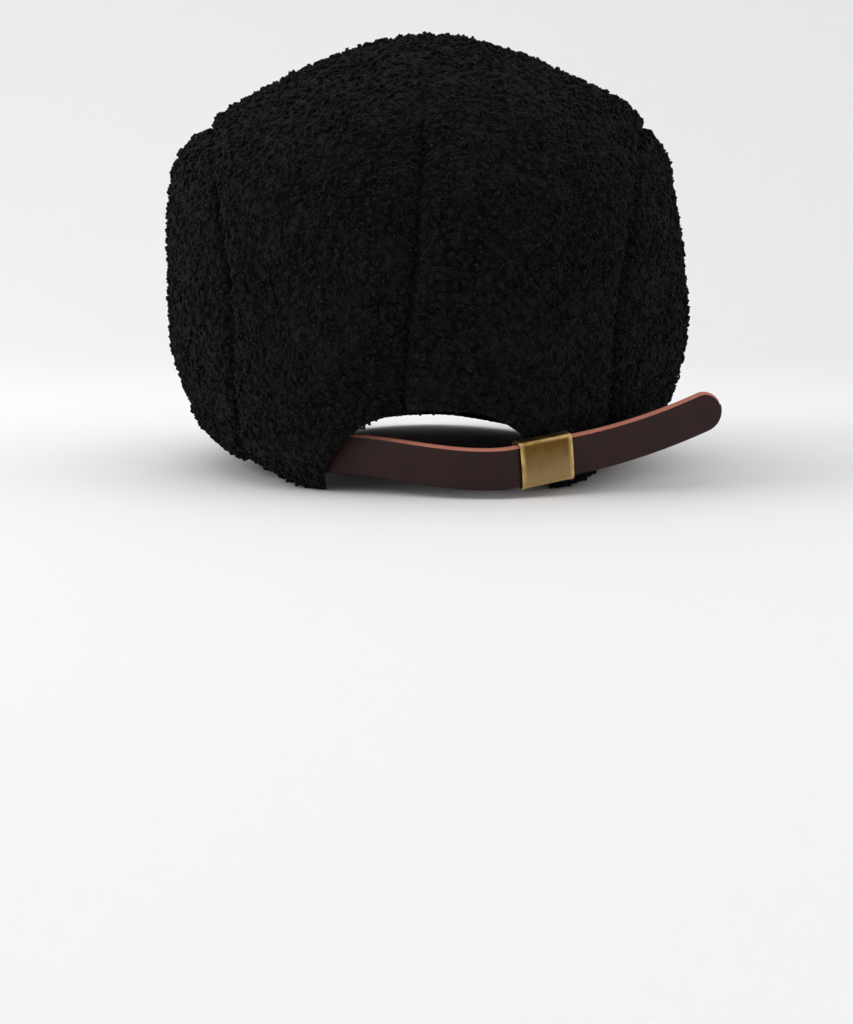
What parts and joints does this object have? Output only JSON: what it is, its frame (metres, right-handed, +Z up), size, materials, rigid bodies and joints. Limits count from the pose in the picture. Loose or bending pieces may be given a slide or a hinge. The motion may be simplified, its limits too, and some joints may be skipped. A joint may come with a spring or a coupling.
{
  "type": "hunting cap",
  "caption": "Full-crowned wool hunting cap with a short peak under the front, an arched opening at the back and a leather strap through a flat slider.",
  "frame": {"origin": "on the surface the cap rests on, under the middle of the whole cap's box", "axes": "+Z up, +Y towards the back of the cap, +X towards the wearer's left"},
  "size_m": [0.209, 0.2608, 0.167],
  "materials": {
    "black_boucle_wool": "curly wool pile",
    "dark_brown_leather": "smooth, satin",
    "antique_brass": "brushed, aged"
  },
  "bodies": {
    "root": {"top_panel": "black_boucle_wool", "side_panel_left": "black_boucle_wool", "side_panel_right": "black_boucle_wool", "peak": "black_boucle_wool", "strap": "dark_brown_leather", "slider": "antique_brass", "slider_tab": "dark_brown_leather"}
  },
  "joints": []
}
